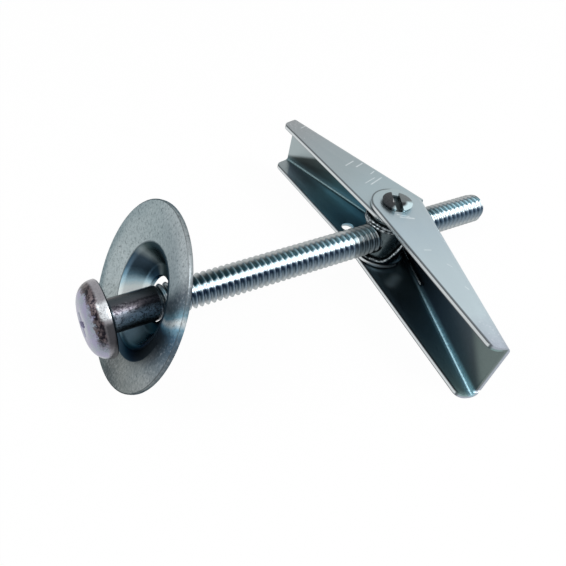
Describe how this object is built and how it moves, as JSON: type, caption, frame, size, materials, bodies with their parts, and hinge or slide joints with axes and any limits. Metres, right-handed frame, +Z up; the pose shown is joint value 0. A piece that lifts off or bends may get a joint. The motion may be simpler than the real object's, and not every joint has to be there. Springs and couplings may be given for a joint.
{
  "type": "spring toggle bolt",
  "caption": "Threaded mushroom-head bolt with a loose cup washer and a trunnion nut that carries folded, spring-opened wings for fixing to a hollow wall.",
  "frame": {"origin": "centre of the bounding box's base, in the plane that the assembly rests on", "axes": "+Z up from the surface it lies on; +X along the bolt's level projection, from the head towards the tip; +Y towards the left wing"},
  "size_m": [0.093, 0.0754, 0.0296],
  "materials": {
    "bolt_zinc": "zinc-plated steel, slightly dull, thread crests brighter",
    "washer_zinc": "zinc-plated pressed steel, matte and faintly speckled",
    "nut_steel": "zinc-plated turned steel",
    "wing_zinc": "bright zinc-plated folded sheet with a cool tint, rounded sheared edges",
    "spring_wire": "plated round spring wire"
  },
  "bodies": {
    "bolt": {"bolt": "bolt_zinc"},
    "washer": {"washer": "washer_zinc"},
    "nut": {"trunnion_nut": "nut_steel", "spring": "spring_wire"},
    "wing_left": {"wing_left": "wing_zinc"},
    "wing_right": {"wing_right": "wing_zinc"}
  },
  "joints": [
    {"name": "washer_slide", "type": "slide", "parent": "bolt", "child": "washer", "axis": [0.9947, 0, -0.1025], "range_m": [0, 0.005]},
    {"name": "nut_travel", "type": "slide", "parent": "bolt", "child": "nut", "axis": [0.9947, 0, -0.1025], "range_m": [-0.002, 0.022]},
    {"name": "wing_left_fold", "type": "hinge", "parent": "nut", "child": "wing_left", "pos_m": [0.01964, -0.00044, 0.00684], "axis": [0.1024, -0.0465, 0.9937], "range_deg": [0, 76], "stiffness_Nm_per_rad": 0.01, "springref_deg": -57.3, "deforming": ["spring"]},
    {"name": "wing_right_fold", "type": "hinge", "parent": "nut", "child": "wing_right", "pos_m": [0.01964, -0.00044, 0.00684], "axis": [-0.1024, 0.0465, -0.9937], "range_deg": [0, 68], "stiffness_Nm_per_rad": 0.01, "springref_deg": -57.3, "deforming": ["spring"]}
  ]
}
